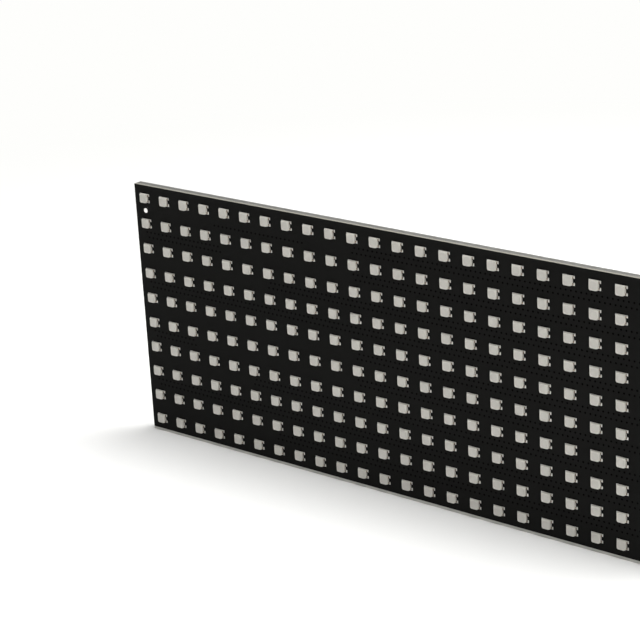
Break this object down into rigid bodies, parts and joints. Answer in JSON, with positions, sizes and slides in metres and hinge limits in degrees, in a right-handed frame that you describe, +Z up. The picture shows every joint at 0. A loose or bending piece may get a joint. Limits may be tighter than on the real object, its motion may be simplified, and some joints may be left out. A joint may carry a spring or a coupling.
{
  "type": "led dot matrix panel",
  "caption": "Flat rectangular display panel: a black circuit board with a grid of square LEDs, stiffened behind by light metal rails with threaded mounting spacers.",
  "frame": {"origin": "centre of the four threaded mounting spacers, on their rear faces", "axes": "+X along the panel's length, +Z up, +Y out of the back, so the LEDs face -Y"},
  "size_m": [0.336, 0.0143, 0.1407],
  "materials": {
    "black_solder_mask": "black solder mask over glass laminate, silk matte",
    "tinned_copper": "tin-plated copper, bright and smooth",
    "anodised_aluminium": "light grey anodised aluminium, satin",
    "tinned_brass": "tin-plated brass, satin",
    "plated_steel": "zinc-plated steel, satin",
    "nickel_brass": "plain turned brass, satin",
    "white_moulding": "white reflector moulding, matt",
    "clear_resin": "clear casting resin over a pale cup, glossy",
    "lead_strip": "tin-plated copper alloy strip with bright reflowed solder",
    "chip_moulding": "black epoxy moulding, fine matt",
    "header_moulding": "black glass-filled moulding, satin",
    "gilt_brass": "thin gold flash on brass, bright",
    "terminal_moulding": "green moulding, satin",
    "can_aluminium": "drawn aluminium can, satin",
    "fired_ceramic": "fired ceramic block with tinned ends",
    "resistor_ceramic": "glazed ceramic chip with tinned ends"
  },
  "bodies": {
    "root": {"circuit_board": "black_solder_mask", "alignment_dots": "tinned_copper", "top_rail": "anodised_aluminium", "bottom_rail": "anodised_aluminium", "left_end_rail": "anodised_aluminium", "right_end_rail": "anodised_aluminium", "left_crossbar": "anodised_aluminium", "right_crossbar": "anodised_aluminium", "board_nuts": "tinned_brass", "rail_screws": "plated_steel", "mounting_spacers": "nickel_brass", "housings_row_01": "white_moulding", "housings_row_02": "white_moulding", "housings_row_03": "white_moulding", "housings_row_04": "white_moulding", "housings_row_05": "white_moulding", "housings_row_06": "white_moulding", "housings_row_07": "white_moulding", "housings_row_08": "white_moulding", "housings_row_09": "white_moulding", "housings_row_10": "white_moulding", "lenses_row_01": "clear_resin", "lenses_row_02": "clear_resin", "lenses_row_03": "clear_resin", "lenses_row_04": "clear_resin", "lenses_row_05": "clear_resin", "lenses_row_06": "clear_resin", "lenses_row_07": "clear_resin", "lenses_row_08": "clear_resin", "lenses_row_09": "clear_resin", "lenses_row_10": "clear_resin", "leads_row_01": "lead_strip", "leads_row_02": "lead_strip", "leads_row_03": "lead_strip", "leads_row_04": "lead_strip", "leads_row_05": "lead_strip", "leads_row_06": "lead_strip", "leads_row_07": "lead_strip", "leads_row_08": "lead_strip", "leads_row_09": "lead_strip", "leads_row_10": "lead_strip", "driver_chips": "chip_moulding", "driver_chip_leads": "lead_strip", "logic_chips": "chip_moulding", "logic_chip_leads": "lead_strip", "data_in_block": "header_moulding", "data_in_pins": "gilt_brass", "data_out_block": "header_moulding", "data_out_pins": "gilt_brass", "power_terminal": "terminal_moulding", "terminal_screws": "plated_steel", "terminal_feet": "tinned_copper", "capacitor_cans": "can_aluminium", "capacitor_bases": "header_moulding", "bypass_capacitors": "fired_ceramic", "set_resistors": "resistor_ceramic"}
  },
  "joints": []
}
